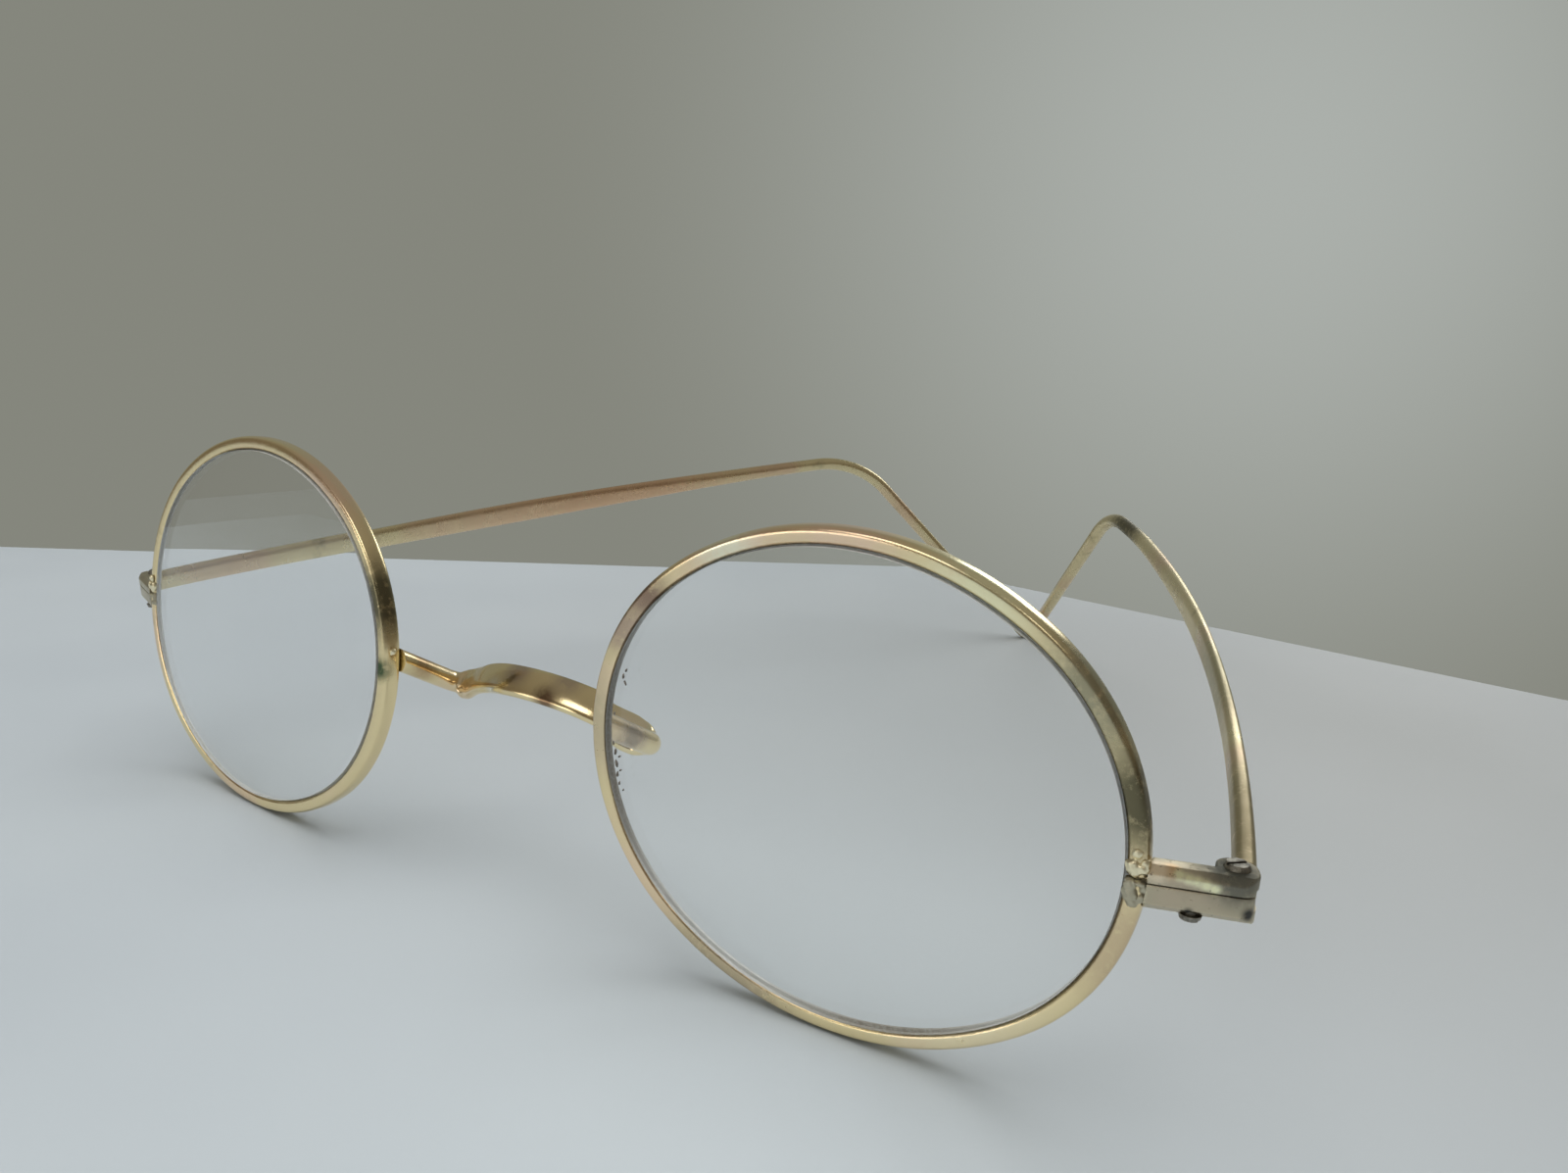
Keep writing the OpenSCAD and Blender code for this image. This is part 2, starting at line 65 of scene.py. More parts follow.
camera_data = bpy.data.cameras.new("camera")
camera_data.sensor_fit = "HORIZONTAL"
camera_data.sensor_width = SENSOR_WIDTH
camera_data.lens = SENSOR_WIDTH * FOCAL_PIXELS / IMAGE_WIDTH
camera_data.clip_start = 0.005
camera_data.clip_end = 20
camera = linked("camera", camera_data)
spot = EYE_LINE + FRONT_TO_ROW
camera.matrix_world = Matrix((
    (RIGHT.x, -DOWN.x, -FORWARD.x, spot.x),
    (RIGHT.y, -DOWN.y, -FORWARD.y, spot.y),
    (RIGHT.z, -DOWN.z, -FORWARD.z, spot.z),
    (0, 0, 0, 1),
))
bpy.context.scene.camera = camera


def pixel_ray(px, py):
    """The way from the camera through a pixel of the 1600 by 1197 image."""
    across = RIGHT * (px - IMAGE_WIDTH / 2) / FOCAL_PIXELS
    down = DOWN * (py - IMAGE_HEIGHT / 2) / FOCAL_PIXELS
    return FORWARD + across + down


def on_table(px, py):
    """The point of the table top that a pixel shows, in metres."""
    ray = pixel_ray(px, py)
    return spot - ray * (spot.z / ray.z)


# Pieces built in mesh code, in millimetres of the pair's own frame: Y = 0 at the front lips,
# Z = 0 at the middle of the eyes. The sizes are those of the solids.

HALF_W, HALF_H = 19.2, 17.0
EYE_X = 26.1 / 2 + HALF_W
FACE_FORM, EYE_LEAN = math.radians(3.0), math.radians(3.2)
RIM_WIDE, RIM_DEEP = 1.3, 1.7
STAND = FRONT_TO_ROW.z / MM

# The eye's oval: four arcs that meet where a 3-4-5 triangle puts them

OVAL = (HALF_W - HALF_H) / 2
SIDE_SHIFT, TOP_SHIFT = 3 * OVAL, 4 * OVAL
SIDE_R, TOP_R = HALF_W - SIDE_SHIFT, HALF_H + TOP_SHIFT
ARC = math.atan2(4, 3)


def ease(t):
    """0 to 1 with a gentle start and end."""
    t = min(1.0, max(0.0, t))
    return t * t * (3 - 2 * t)


def mix(a, b, t):
    return a + (b - a) * t


def round_corner(angle, power):
    """Cosine and sine of an angle, drawn out towards a square's as the power falls below 1."""
    c, s = math.cos(angle), math.sin(angle)
    return math.copysign(abs(c) ** power, c), math.copysign(abs(s) ** power, s)


def mirror(side):
    return Matrix.Scale(-1 if side < 0 else 1, 4, (1, 0, 0))


def eye_place(side):
    """Puts an eye drawn in its own plane on the left (1) or right (-1) of the front."""
    lean = Matrix.Rotation(side * EYE_LEAN, 4, "X")
    turn = lean @ Matrix.Rotation(side * FACE_FORM, 4, "Z")
    return Matrix.Translation((side * EYE_X, 0, 0)) @ turn @ mirror(side)


def oval(out, count=60):
    """The eye's outline in its own plane, a distance outside the inner lips."""
    points = []
    for quarter in range(4):
        around_side = quarter % 2 == 0
        middle = quarter * math.pi / 2
        half = ARC if around_side else math.pi / 2 - ARC
        radius = (SIDE_R if around_side else TOP_R) + out
        way = 1 if quarter < 2 else -1
        centre = (way * SIDE_SHIFT, 0) if around_side else (0, -way * TOP_SHIFT)
        for i in range(count):
            a = middle - half + 2 * half * i / count
            points.append((centre[0] + radius * math.cos(a), centre[1] + radius * math.sin(a)))
    return points


def piece(name, rings, body, finish, place=Matrix(), facing=None, stands_for=None):
    """A skin through rings of points, closed at both ends. A ring that is None starts a new sheet,
    so that an edge stays sharp. Each sheet faces outwards, or the way that facing gives for it."""
    sheets = [[]]
    for ring in rings:
        if ring is None:
            sheets.append([])
        else:
            sheets[-1].append([Vector(v) for v in ring])
    points, faces, ends = [], [], []
    for number, sheet_rings in enumerate(sheets):
        n = len(sheet_rings[0])
        start = len(points)
        made = []
        for ring in sheet_rings:
            points += ring
        for r in range(len(sheet_rings) - 1):
            a, b = start + r * n, start + (r + 1) * n
            made += [(a + i, a + (i + 1) % n, b + (i + 1) % n, b + i) for i in range(n)]
        one = made[len(made) // 2]
        ring = sheet_rings[(len(sheet_rings) - 1) // 2]
        outwards = points[one[0]] - sum(ring, Vector()) / n
        wish = facing[number] if facing and facing[number] else outwards
        normal = (points[one[1]] - points[one[0]]).cross(points[one[3]] - points[one[0]])
        turned = normal.dot(Vector(wish)) < 0
        faces += [tuple(reversed(f)) for f in made] if turned else made
        for first, ring in ((True, sheet_rings[0]), (False, sheet_rings[-1])):
            if (first and number == 0) or (not first and number == len(sheets) - 1):
                at = len(points)
                points += ring
                order = range(n) if first == turned else reversed(range(n))
                ends.append(tuple(at + i for i in order))
    faces += ends
    mesh = bpy.data.meshes.new(name)
    to_row = Matrix.Scale(MM, 4) @ Matrix.Translation(FRONT_TO_ROW / MM) @ place
    mesh.from_pydata([tuple(to_row @ v) for v in points], [], faces)
    if place.determinant() < 0:
        mesh.flip_normals()
    for face in mesh.polygons:
        face.use_smooth = len(face.vertices) == 4
    mesh.materials.append(finish.material)
    obj = linked(name, mesh)
    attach(obj, body)
    if stands_for:
        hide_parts(stands_for)
    return obj


# Lens: bulging front, hollow back, and a ground edge that rises to a point in the groove. The
# edge of its front lies LENS_INSET behind the lips.

LENS_FRONT_R, LENS_BACK_R = 200.0, 260.0
LENS_THICK, LENS_GAP, LENS_INSET = 1.9, 0.06, 0.05
GROOVE_DEEP, EDGE_HALF = 0.55, 0.39
LENS_SHARES = [0.02] + [i / 14 for i in range(1, 14)] + [0.985, 1.0]


def lens_piece(side, name):
    rise = LENS_FRONT_R - math.sqrt(LENS_FRONT_R ** 2 - HALF_W ** 2) - LENS_INSET

    def on_front(x, z):
        return (x, LENS_FRONT_R - rise - math.sqrt(LENS_FRONT_R ** 2 - x * x - z * z), z)

    def on_back(x, z):
        depth = LENS_BACK_R - rise + LENS_THICK
        return (x, depth - math.sqrt(LENS_BACK_R ** 2 - x * x - z * z), z)

    def around(outline, y):
        return [(x, y, z) for x, z in outline]

    edge, ridge = oval(-LENS_GAP), oval(GROOVE_DEEP - 2 * LENS_GAP)
    front = [[on_front(k * x, k * z) for x, z in edge] for k in LENS_SHARES]
    back = [[on_back(k * x, k * z) for x, z in edge] for k in reversed(LENS_SHARES)]
    mid = RIM_DEEP / 2
    low, high = mid - EDGE_HALF, mid + EDGE_HALF
    rings = front
    for near, far in (
        (front[-1], around(edge, low)),
        (around(edge, low), around(ridge, mid)),
        (around(ridge, mid), around(edge, high)),
        (around(edge, high), back[0]),
    ):
        rings = rings + [None, near, far]
    rings = rings + [None] + back
    facing = [(0, -1, 0), None, None, None, None, (0, 1, 0)]
    node = name.replace("_clear", "")
    obj = piece(name, rings, "front", clear_glass, eye_place(side), facing, node)
    obj.data.materials.append(ground_glass.material)
    n = len(edge)
    dome = (len(LENS_SHARES) - 1) * n
    for index, face in enumerate(obj.data.polygons):
        if dome <= index < dome + 4 * n:
            face.material_index = 1


# Rim: crowned outside, grooved inside, sawn through at its outer side. A point of its section is
# a distance outside the inner lips and a depth behind the front ones.

CROWN, LIP_ANGLE = 0.62, 159.7
GROOVE = [(0.05, 1.22), (0.50, 0.88), (0.54, 0.85), (0.50, 0.82), (0.05, 0.48)]
CUT_TOP, CUT_LOW = -0.05, -0.35
SECTION_STEPS, ARC_STEPS = 40, 56


def rim_piece(side, name):
    half_wide, half_deep = RIM_WIDE / 2, RIM_DEEP / 2
    section = []
    for j in range(SECTION_STEPS + 1):
        angle = math.radians(LIP_ANGLE - 2 * LIP_ANGLE * j / SECTION_STEPS)
        c, s = round_corner(angle, CROWN)
        section.append((half_wide + half_wide * c, half_deep - half_deep * s))
    section += GROOVE
    cut_r = SIDE_R + half_wide
    turn = 2 * math.pi
    arcs = [
        ((SIDE_SHIFT, 0), SIDE_R, math.asin(CUT_TOP / cut_r), ARC),
        ((0, -TOP_SHIFT), TOP_R, ARC, math.pi - ARC),
        ((-SIDE_SHIFT, 0), SIDE_R, math.pi - ARC, math.pi + ARC),
        ((0, TOP_SHIFT), TOP_R, math.pi + ARC, turn - ARC),
        ((SIDE_SHIFT, 0), SIDE_R, turn - ARC, turn + math.asin(CUT_LOW / cut_r)),
    ]
    rings = []
    for number, ((cx, cz), radius, a, b) in enumerate(arcs):
        for i in range(0 if number == 0 else 1, ARC_STEPS + 1):
            angle = mix(a, b, i / ARC_STEPS)
            c, s = math.cos(angle), math.sin(angle)
            rings.append([(cx + (radius + x) * c, y, cz + (radius + x) * s) for x, y in section])
    node = name.replace("_wire", "")
    piece(name, rings, "front", rim_gold, eye_place(side), stands_for=node)


# Bridge: round shanks that turn into a flattened, leaning saddle band, a little wider at its
# outer corners. A foot is counted from the middle of its eye.

FOOT = HALF_W + RIM_WIDE * 0.7
FOOT_Z, BEND_DROP, SADDLE_RISE = 0.5, 3.7, 2.8
BEND = Vector((EYE_X - FOOT * math.cos(FACE_FORM) + 0.1, 7.3, FOOT_Z - BEND_DROP))
MIDDLE = Vector((0, 5.2, BEND.z + SADDLE_RISE))
BAND_LEAN = math.radians(38)
SHANK_HALF, BAND_HALF, BAND_THICK = 0.95, 1.45, 0.55
CORNER_WIDER, CORNER_RING, CORNER_REACH = 0.16, 34, 6
BEND_REACH, BAND_RISE, HANDLE, MIDDLE_HANDLE = 1.5, 0.15, 2.2, 7.5
SHANK_STEPS, BEND_STEPS, BAND_STEPS = 10, 16, 40
FLATTEN_FROM, FLATTEN_OVER, BAND_POWER = 18, 9, 0.8


def bridge_route(side):
    """The middle of the wire from a rim to the middle of the band."""
    turn = Matrix.Rotation(side * EYE_LEAN, 3, "X") @ Matrix.Rotation(FACE_FORM, 3, "Z")
    start = Vector((EYE_X, 0, 0)) + turn @ Vector((-FOOT, RIM_DEEP, FOOT_Z))
    back = turn @ Vector((0, 1, 0))
    down_shank = (BEND - start).normalized()
    into = Vector((-1, 0, BAND_RISE)).normalized()
    e, g = BEND - BEND_REACH * down_shank, BEND + BEND_REACH * into
    h, k = g + HANDLE * into, MIDDLE + Vector((MIDDLE_HANDLE, 0, 0))
    route = [mix(start, e, i / SHANK_STEPS) for i in range(SHANK_STEPS)]
    for i in range(BEND_STEPS):
        t = i / BEND_STEPS
        route.append((1 - t) ** 2 * e + 2 * t * (1 - t) * BEND + t * t * g)
    for i in range(BAND_STEPS + 1):
        t = i / BAND_STEPS
        bent = (1 - t) ** 3 * g + 3 * t * (1 - t) ** 2 * h
        route.append(bent + 3 * t * t * (1 - t) * k + t ** 3 * MIDDLE)
    return route, back


def bridge_half(side, count=48):
    route, back = bridge_route(side)
    lean = Vector((0, math.sin(BAND_LEAN), math.cos(BAND_LEAN)))
    rings = []
    for i, p in enumerate(route):
        if i == 0:
            way = (route[1] - p).normalized()
        elif i == len(route) - 1:
            way = Vector((-1, 0, 0))
        else:
            way = (route[i + 1] - route[i - 1]).normalized()
        a = (lean - lean.dot(way) * way).normalized()
        b = way.cross(a)
        grow = ease((i - FLATTEN_FROM) / FLATTEN_OVER)
        corner = CORNER_WIDER * math.exp(-((i - CORNER_RING) / CORNER_REACH) ** 2)
        wide = mix(SHANK_HALF, BAND_HALF, grow) + corner
        thick = mix(SHANK_HALF, BAND_THICK, grow)
        ring = []
        for j in range(count):
            c, s = round_corner(2 * math.pi * j / count, mix(1.0, BAND_POWER, grow))
            ring.append(p + a * wide * c + b * thick * s)
        if i == 0:
            ring = [q + way * ((p - q).dot(back) / way.dot(back)) for q in ring]
        rings.append(ring)
    return rings


def bridge_piece():
    left, right = bridge_half(1), bridge_half(-1)
    mirrored = [[Vector((-q.x, q.y, q.z)) for q in ring] for ring in reversed(right[:-1])]
    rings = left + mirrored
    piece("saddle_bridge", rings, "front", bridge_gold, stands_for="bridge")


# Temples: a bowed flat bar that turns round, bends over the ear and drops to a rounded tip. The
# left one leaves its hinge straighter and flatter than the right one, by twice the staggers.

LUG_SWEEP = math.radians(18)
PIN_OUT, PIN_IN, PIN_Z = 5.1, 1.725, -0.5
SIDE_OUT = HALF_W + RIM_WIDE
RIM_SIDE = Vector((EYE_X + SIDE_OUT * math.cos(FACE_FORM), SIDE_OUT * math.sin(FACE_FORM), 0))
PIVOT = Vector((
    RIM_SIDE.x + PIN_OUT * math.cos(LUG_SWEEP) - PIN_IN * math.sin(LUG_SWEEP),
    RIM_SIDE.y + PIN_OUT * math.sin(LUG_SWEEP) + PIN_IN * math.cos(LUG_SWEEP),
    PIN_Z,
))
BAR, SHOULDER, BAR_OFFSET, BAR_STEPS = 92.3, 1.6, 0.55, 120
BAR_BOW, TOE_IN, TOE_LENGTH = 19, 4, 14
START_TURN, START_STAGGER, BAR_RISE, RISE_STAGGER = 12, 2, 6.9, 1.1
EAR_R, DROP, WIRE_R = 15.0, 38.49, 0.9
HINGE_THICK, HINGE_HIGH, WAIST_THICK, WAIST_HIGH = 1.35, 2.1, 1.0, 2.7
BAR_POWER, ROUND_FROM, ROUND_OVER = 0.62, 0.55, 0.45
EAR_STEPS, DROP_STEPS, TIP_STEPS, TIP_TURN = 40, 20, 8, 11


def temple_piece(side, name, body):
    start_angle = math.radians(START_TURN - START_STAGGER * side)
    rise = math.radians(BAR_RISE - RISE_STAGGER * side)

    def heading(s):
        toe = TOE_IN * ease((s - BAR + TOE_LENGTH) / TOE_LENGTH)
        return start_angle + math.radians(BAR_BOW * s / BAR + toe)

    def way_at(angle, pitch):
        flat = math.cos(pitch)
        return Vector((-math.sin(angle) * flat, math.cos(angle) * flat, math.sin(pitch)))

    def ring_at(p, angle, pitch, thick, high, power=1.0, count=40):
        across = Vector((math.cos(angle), math.sin(angle), 0))
        up = across.cross(way_at(angle, pitch))
        ring = []
        for j in range(count):
            c, s = round_corner(2 * math.pi * j / count, power)
            ring.append(p + across * thick * c + up * high * s)
        return ring

    step = (BAR - SHOULDER) / BAR_STEPS
    p = PIVOT + BAR_OFFSET * Vector((math.cos(start_angle), math.sin(start_angle), 0))
    p = p + SHOULDER * way_at(heading(SHOULDER / 2), rise)
    rings = []
    for j in range(BAR_STEPS + 1):
        s = SHOULDER + j * step
        if s < BAR / 2:
            t = ease((s - SHOULDER) / (BAR / 2 - SHOULDER))
            thick, high = mix(HINGE_THICK, WAIST_THICK, t), mix(HINGE_HIGH, WAIST_HIGH, t)
        else:
            t = ease((s - BAR / 2) / (BAR / 2))
            thick, high = mix(WAIST_THICK, 2 * WIRE_R, t), mix(WAIST_HIGH, 2 * WIRE_R, t)
        power = mix(BAR_POWER, 1.0, ease((s - BAR * ROUND_FROM) / (BAR * ROUND_OVER)))
        rings.append(ring_at(p, heading(s), rise, thick / 2, high / 2, power))
        p = p + step * way_at(heading(s + step / 2), rise)
    ear = p - step * way_at(heading(BAR + step / 2), rise)

    # The drop slopes so far that its tip rests on the table
    angle = heading(BAR)
    fall = ear.z + EAR_R * (1 - math.cos(rise)) + STAND - WIRE_R
    slope = math.atan2(EAR_R, DROP) + math.asin((fall - EAR_R) / math.hypot(DROP, EAR_R))
    across = Vector((math.cos(angle), math.sin(angle), 0))
    centre = ear - EAR_R * across.cross(way_at(angle, rise))
    for j in range(1, EAR_STEPS + 1):
        pitch = rise - (rise + slope) * j / EAR_STEPS
        p = centre + EAR_R * across.cross(way_at(angle, pitch))
        rings.append(ring_at(p, angle, pitch, WIRE_R, WIRE_R))
    along = way_at(angle, -slope)
    for j in range(1, DROP_STEPS + 1):
        at = p + along * DROP * j / DROP_STEPS
        rings.append(ring_at(at, angle, -slope, WIRE_R, WIRE_R))
    tip = p + along * DROP
    for j in range(1, TIP_STEPS + 1):
        a = math.radians(TIP_TURN * j)
        r = WIRE_R * math.cos(a)
        rings.append(ring_at(tip + along * WIRE_R * math.sin(a), angle, -slope, r, r))
    node = name.replace("_bar", "")
    piece(name, rings, body, bar_gold, mirror(side), stands_for=node)


# Solder, dirt and stains lie on the surface that a pixel of the photograph shows, found by a ray
# from the camera


def surface(px, py, *names):
    """Where a pixel's ray first meets one of the nodes, and the normal there, in metres."""
    ray = pixel_ray(px, py).normalized()
    best = None
    for name in names:
        mesh = frame["nodes"][name].data
        corners = [v.co for v in mesh.vertices]
        tree = BVHTree.FromPolygons(corners, [tuple(f.vertices) for f in mesh.polygons])
        at, normal, _, away = tree.ray_cast(spot, ray)
        if at is not None and (best is None or away < best[2]):
            best = (at, normal, away)
    if best is None:
        raise SystemExit("no surface of %s at pixel %s %s" % (names, px, py))
    return best[0], best[1]


def surface_mm(px, py, *names):
    return tuple(surface(px, py, *names)[0] / MM)


CRUMB_STRETCH, SUNK = 2.2, 0.25
SKIN_VOXEL, SEED_STEP = 0.045, 3.7


def lump(bm, at, normal, wide, high, seed, long_way=None):
    """A lumpy bead that sits on a surface, sunk a little into it. Lengths are millimetres."""
    ball = bmesh.ops.create_icosphere(bm, subdivisions=3, radius=1.0)
    across = normal.orthogonal().normalized() if long_way is None else long_way.normalized()
    across = (across - across.dot(normal) * normal).normalized()
    other = normal.cross(across)
    stretch = CRUMB_STRETCH if long_way is not None else 1.0
    for vertex in ball["verts"]:
        c = vertex.co.copy()
        coarse = noise.noise(c * 1.6 + Vector((seed, 0, 0)))
        fine = noise.noise(c * 5 + Vector((0, seed, 0)))
        rough = 1 + 0.30 * coarse + 0.10 * fine
        local = across * c.x * wide * stretch + other * c.y * wide
        local = local + normal * (c.z * high - SUNK * high)
        vertex.co = at + local * rough * MM


def beads(name, spots, finish, melted=False):
    """Lumps on the front, each (at, normal, wide, high, long way), or one skin melted over all."""
    bm = bmesh.new()
    for number, (at, normal, wide, high, long_way) in enumerate(spots):
        lump(bm, at, normal, wide, high, SEED_STEP * number + len(name), long_way)
    mesh = bpy.data.meshes.new(name)
    bm.to_mesh(mesh)
    bm.free()
    for face in mesh.polygons:
        face.use_smooth = True
    mesh.materials.append(finish.material)
    obj = linked(name, mesh)
    if melted:
        skin = obj.modifiers.new("one_skin", "REMESH")
        skin.mode, skin.voxel_size, skin.use_smooth_shade = "VOXEL", SKIN_VOXEL * MM, True
        ease_out = obj.modifiers.new("ease_out", "SMOOTH")
        ease_out.factor, ease_out.iterations = 0.5, 8
    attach(obj, "front")


# Node helpers. The Mix node keeps its colour sockets after those for numbers and vectors.

MIX_A, MIX_B, MIX_RESULT = 6, 7, 2


class Finish:
    """A material and short ways to add nodes to it. Lengths in its textures are millimetres."""

    def __init__(self, name):
        self.material = bpy.data.materials.new(name)
        self.material.use_nodes = True
        self.tree = self.material.node_tree
        self.tree.nodes.clear()
        self.out = self.add("ShaderNodeOutputMaterial")
        self.shader = self.add("ShaderNodeBsdfPrincipled")
        self.join(self.shader.outputs["BSDF"], self.out.inputs["Surface"])
        place = self.add("ShaderNodeTexCoord")
        self.place = self.vectors("SCALE", place.outputs["Object"], scale=1000.0)

    def add(self, kind, **settings):
        node = self.tree.nodes.new(kind)
        for key, value in settings.items():
            setattr(node, key, value)
        return node

    def join(self, out, into):
        self.tree.links.new(out, into)

    def put(self, socket, value):
        """Sets a socket from another node's output, a number or a colour."""
        if isinstance(value, bpy.types.NodeSocket):
            self.join(value, socket)
        elif socket.type == "RGBA":
            socket.default_value = (*value, 1.0)
        else:
            socket.default_value = value

    def feed(self, name, value):
        self.put(self.shader.inputs[name], value)

    def maths(self, kind, a, b=0.0, clamp=False):
        node = self.add("ShaderNodeMath", operation=kind, use_clamp=clamp)
        self.put(node.inputs[0], a)
        self.put(node.inputs[1], b)
        return node.outputs[0]

    def plus(self, a, b, clamp=False):
        return self.maths("ADD", a, b, clamp)

    def minus(self, a, b, clamp=False):
        return self.maths("SUBTRACT", a, b, clamp)

    def times(self, a, b, clamp=False):
        return self.maths("MULTIPLY", a, b, clamp)

    def vectors(self, kind, a, b=None, scale=None):
        node = self.add("ShaderNodeVectorMath", operation=kind)
        self.put(node.inputs[0], a)
        if b is not None:
            self.put(node.inputs[1], b)
        if scale is not None:
            node.inputs["Scale"].default_value = scale
        return node.outputs["Value" if kind in ("DOT_PRODUCT", "LENGTH") else "Vector"]

    def noise(self, size, detail=3.0, rough=0.5, stretch=None, shift=(0, 0, 0)):
        """Noise with features of about size millimetres, longer along an axis by its stretch."""
        where = self.vectors("ADD", self.place, shift)
        if stretch:
            where = self.vectors("DIVIDE", where, stretch)
        node = self.add("ShaderNodeTexNoise")
        self.join(where, node.inputs["Vector"])
        node.inputs["Scale"].default_value = 1.0 / size
        node.inputs["Detail"].default_value = detail
        node.inputs["Roughness"].default_value = rough
        return node.outputs["Fac"]

    def span(self, value, low, high, to_low=0.0, to_high=1.0, smooth=True):
        node = self.add("ShaderNodeMapRange")
        node.interpolation_type = "SMOOTHSTEP" if smooth else "LINEAR"
        self.join(value, node.inputs["Value"])
        for key, number in (
            ("From Min", low), ("From Max", high), ("To Min", to_low), ("To Max", to_high),
        ):
            node.inputs[key].default_value = number
        return node.outputs["Result"]

    def blend(self, share, a, b):
        node = self.add("ShaderNodeMix", data_type="RGBA")
        self.put(node.inputs["Factor"], share)
        self.put(node.inputs[MIX_A], a)
        self.put(node.inputs[MIX_B], b)
        return node.outputs[MIX_RESULT]

    def either(self, share, first, second):
        """Ends the material in one of two shaders, by a share of 0 to 1."""
        node = self.add("ShaderNodeMixShader")
        self.join(share, node.inputs[0])
        self.join(first, node.inputs[1])
        self.join(second, node.inputs[2])
        self.join(node.outputs[0], self.out.inputs["Surface"])

    def crevice(self, reach):
        """1 deep in a seam or corner, 0 in the open."""
        node = self.add("ShaderNodeAmbientOcclusion", samples=8)
        node.inputs["Distance"].default_value = reach * MM
        return self.minus(1.0, node.outputs["AO"], clamp=True)

    def edge(self, reach):
        """The normal rounded over the edges, and how strongly a point lies on an edge."""
        node = self.add("ShaderNodeBevel", samples=4)
        node.inputs["Radius"].default_value = reach * MM
        flat = self.add("ShaderNodeNewGeometry").outputs["Normal"]
        same = self.vectors("DOT_PRODUCT", node.outputs["Normal"], flat)
        return node.outputs["Normal"], self.span(self.minus(1.0, same), 0.01, 0.18)

    def bump(self, height, depth, normal=None):
        """Bump of depth millimetres from a height of 0 to 1."""
        node = self.add("ShaderNodeBump")
        node.inputs["Strength"].default_value = 1.0
        node.inputs["Distance"].default_value = depth * MM
        self.join(height, node.inputs["Height"])
        if normal is not None:
            self.join(normal, node.inputs["Normal"])
        return node.outputs["Normal"]

    def near(self, point, reach):
        """1 at a point of the row frame, in millimetres, 0 from reach millimetres away."""
        away = self.vectors("LENGTH", self.vectors("SUBTRACT", self.place, point))
        return self.span(away, 0.0, reach, 1.0, 0.0)


# Rolled gold: yellow, with pink where it is worn thin and olive where it has tarnished, and a pale
# tone for painted highlights

YELLOW, PINK, PAINTED_HIGHLIGHT = (0.94, 0.78, 0.46), (0.96, 0.72, 0.51), (1.0, 0.98, 0.66)
BROWN, TARNISH = (0.36, 0.25, 0.18), (0.17, 0.15, 0.09)
SOOT, GREEN = (0.10, 0.10, 0.09), (0.10, 0.15, 0.08)
WORN_EDGE, GRIME, FRECKLE = (0.96, 0.86, 0.62), (0.065, 0.052, 0.034), (0.17, 0.13, 0.07)


def gold(
    name, yellow, pink, olive, share, polish, dull, dirt, pits=0.0, marks=(),
    round_off=0.12, swell_depth=0.030,
):
    """A gold with bright worn edges, grime in the corners, freckles and fine scratches. Share is
    how far the olive spreads, polish and dull the roughness of its best and worst places. A mark
    is a point and a reach in millimetres, a colour, and how much duller the metal is there."""
    m = Finish(name)
    round_normal, worn = m.edge(round_off)

    # Yellow with pink patches, olive clouds and pale worn edges
    colour = m.blend(m.span(m.noise(11.0, 2.0), 0.50, 0.68, to_high=0.7), yellow, pink)
    clouds = m.noise(4.0, 5.0, 0.62, shift=(31, 7, 3))
    stain = m.span(clouds, 0.62 - share, 0.86 - share, to_high=0.9)
    colour = m.blend(stain, colour, olive)
    colour = m.blend(m.times(worn, 0.5), colour, WORN_EDGE)
    rough = m.span(clouds, 0.35, 0.75, polish, dull, smooth=False)

    # Single stains, painted highlights and painted dark reflections, mottled
    mottle = m.span(m.noise(0.8, 4.0, 0.7, shift=(2, 60, 4)), 0.25, 0.55, 0.45, 1.0)
    for point, reach, tone, duller in marks:
        patch = m.times(m.times(m.near(point, reach), mottle), 1.25, clamp=True)
        colour = m.blend(patch, colour, tone)
        rough = m.plus(rough, m.times(patch, duller))

    # Grime in the corners and dark freckles
    specks = m.noise(0.18, 4.0, 0.7)
    corner = m.times(m.span(m.crevice(0.8), 0.25, 0.85), m.span(specks, 0.25, 0.6))
    corner = m.times(corner, dirt)
    colour = m.blend(corner, colour, GRIME)
    freckle = m.noise(0.35, 3.0, 0.6, shift=(5, 50, 9))
    freckle = m.span(freckle, 0.70 - pits, 0.80 - pits)
    colour = m.blend(m.times(freckle, 0.6), colour, FRECKLE)
    m.feed("Base Color", colour)
    m.feed("Metallic", 1.0)

    # Duller where it is dirty, smoother where it is rubbed
    fine = m.noise(0.25, 5.0, 0.75, shift=(1, 2, 80))
    rough = m.plus(rough, m.times(fine, 0.08))
    rough = m.plus(rough, m.times(m.plus(corner, freckle), 0.35), clamp=True)
    m.feed("Roughness", m.minus(rough, m.times(worn, 0.05), clamp=True))

    # Slight waves, and scratches along and across
    swell = m.bump(m.noise(2.6, 1.0, 0.4, shift=(9, 9, 9)), swell_depth, round_normal)
    scratch = m.bump(m.noise(0.10, 2.0, 0.6, stretch=(14.0, 1.0, 5.0)), 0.0022, swell)
    cross = m.noise(0.09, 2.0, 0.6, stretch=(1.0, 12.0, 3.0), shift=(40, 0, 0))
    scratch = m.bump(cross, 0.0018, scratch)
    m.feed("Normal", m.bump(m.plus(freckle, corner), 0.010, scratch))
    return m


def mark(px, py, names, reach, tone, duller=0.0):
    """A mark for gold() on the surface that a pixel shows."""
    return surface_mm(px, py, *names), reach, tone, duller


LEFT_END = ("left_upper_lug", "left_lower_lug", "left_rim")

